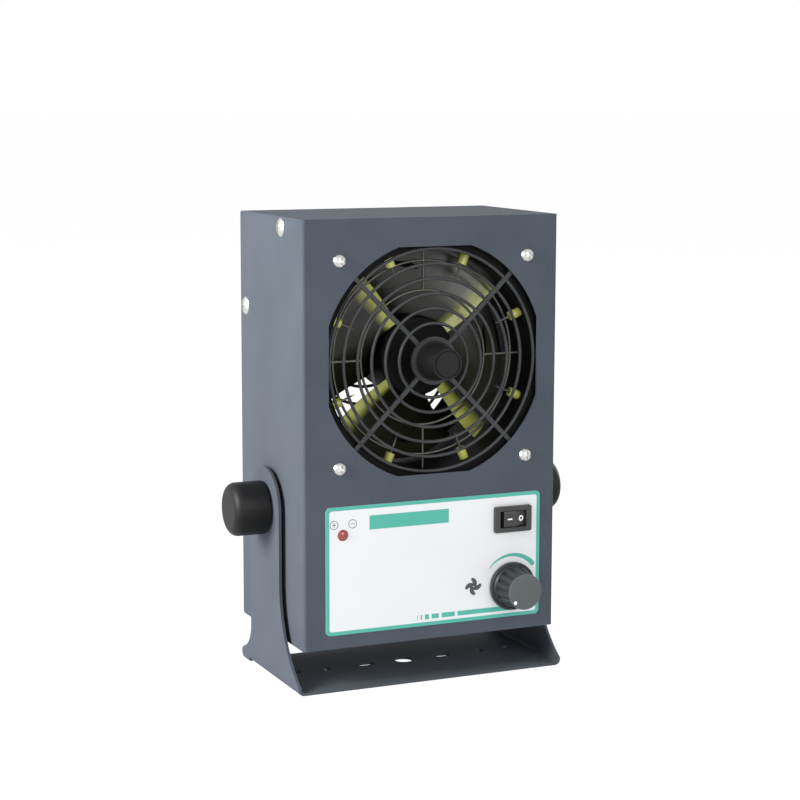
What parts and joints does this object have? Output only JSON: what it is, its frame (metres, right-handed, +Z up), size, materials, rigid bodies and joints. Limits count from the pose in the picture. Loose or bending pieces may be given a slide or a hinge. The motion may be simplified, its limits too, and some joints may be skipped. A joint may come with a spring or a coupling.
{
  "type": "ionizing blower",
  "caption": "Benchtop ionizing air blower: a sheet-metal head with a guarded fan, emitter needles and front controls, tilting between the arms of a bent stand with clamp knobs.",
  "frame": {"origin": "centre of the stand base's middle hole, on the base's underside", "axes": "+X to the right as seen by the user, +Y to the back, +Z up; the air leaves the front towards -Y"},
  "size_m": [0.1896, 0.1209, 0.241],
  "materials": {
    "powder_coat": "fine-textured dark slate powder coat",
    "black_plastic": "moulded black plastic, fine satin",
    "gloss_black": "smooth black plastic",
    "bright_steel": "bright nickel-plated steel",
    "brass": "machined brass",
    "olive_plastic": "translucent olive plastic",
    "label_grey": "printed film, pale grey with a teal border",
    "lamp_red": "dark red lens",
    "board_green": "solder-masked laminate",
    "component_dark": "dark component cases",
    "winding": "varnished windings",
    "potting": "potting resin",
    "lead_red": "silicone insulation",
    "lead_brown": "insulated lead",
    "bristle": "nylon bristles",
    "nylon_grey": "dark nylon washer"
  },
  "bodies": {
    "stand": {"stand_bracket": "powder_coat"},
    "head": {"front_shell": "powder_coat", "wrap_cover": "powder_coat", "front_guard": "black_plastic", "emitter_ring": "black_plastic", "needle_holders": "olive_plastic", "emitter_needles": "bright_steel", "reference_electrode": "bright_steel", "fan_frame": "black_plastic", "fan_stator": "winding", "fan_bearings": "bright_steel", "front_screws": "bright_steel", "front_nuts": "bright_steel", "back_guard": "bright_steel", "back_screws": "bright_steel", "back_nuts": "bright_steel", "side_screws": "bright_steel", "clinch_nuts": "bright_steel", "control_label": "label_grey", "switch_body": "black_plastic", "switch_tabs": "bright_steel", "potentiometer": "bright_steel", "potentiometer_nut": "bright_steel", "indicator_lamp": "lamp_red", "lamp_clip": "black_plastic", "pivot_inserts": "brass", "friction_washers": "nylon_grey", "mains_inlet": "black_plastic", "inlet_pins": "bright_steel", "inlet_screws": "bright_steel", "ground_terminal": "brass", "circuit_board": "board_green", "board_standoffs": "brass", "board_screws": "bright_steel", "board_components": "component_dark", "mains_transformer": "winding", "voltage_module": "potting", "module_screws": "bright_steel", "voltage_lead": "lead_red", "supply_leads": "lead_brown"},
    "rotor": {"impeller": "olive_plastic", "rotor_magnet": "component_dark", "fan_shaft": "bright_steel"},
    "brush": {"brush_knob": "black_plastic", "brush_shaft": "bright_steel", "brush_arm": "black_plastic", "brush_bristles": "bristle"},
    "rocker": {"switch_rocker": "gloss_black"},
    "speed": {"speed_knob": "black_plastic", "potentiometer_shaft": "bright_steel"},
    "clamp_washer_left": {"washer_left": "bright_steel"},
    "clamp_left": {"clamp_knob_left": "black_plastic", "stud_left": "bright_steel"},
    "clamp_washer_right": {"washer_right": "bright_steel"},
    "clamp_right": {"clamp_knob_right": "black_plastic", "stud_right": "bright_steel"}
  },
  "joints": [
    {"name": "head_tilt", "type": "hinge", "parent": "stand", "child": "head", "pos_m": [0, 0.011, 0.089], "axis": [1, 0, 0], "range_deg": [-90, 90]},
    {"name": "fan_spin", "type": "hinge", "parent": "head", "child": "rotor", "pos_m": [0.0014, 0, 0.1675], "axis": [0, 1, 0], "continuous": true},
    {"name": "brush_turn", "type": "hinge", "parent": "head", "child": "brush", "pos_m": [0.0014, 0, 0.1675], "axis": [0, 1, 0], "continuous": true},
    {"name": "power_rocker", "type": "hinge", "parent": "head", "child": "rocker", "pos_m": [0.0462, -0.0325, 0.08185], "axis": [0, 0, -1], "range_deg": [0, 16]},
    {"name": "speed_turn", "type": "hinge", "parent": "head", "child": "speed", "pos_m": [0.0462, -0.0355, 0.0458], "axis": [0, 1, 0], "range_deg": [0, 300]},
    {"name": "clamp_travel_left", "type": "slide", "parent": "head", "child": "clamp_washer_left", "axis": [-1, 0, 0], "range_m": [0, 0.002]},
    {"name": "clamp_turn_left", "type": "hinge", "parent": "clamp_washer_left", "child": "clamp_left", "pos_m": [-0.0765, 0.011, 0.089], "axis": [-1, 0, 0], "range_deg": [0, 720]},
    {"name": "clamp_travel_right", "type": "slide", "parent": "head", "child": "clamp_washer_right", "axis": [1, 0, 0], "range_m": [0, 0.002]},
    {"name": "clamp_turn_right", "type": "hinge", "parent": "clamp_washer_right", "child": "clamp_right", "pos_m": [0.0765, 0.011, 0.089], "axis": [1, 0, 0], "range_deg": [0, 720]}
  ],
  "couplings": [
    {"joint": "clamp_turn_left", "follows": "clamp_travel_left", "rad_per_m": 6283.2},
    {"joint": "clamp_turn_right", "follows": "clamp_travel_right", "rad_per_m": 6283.2}
  ]
}
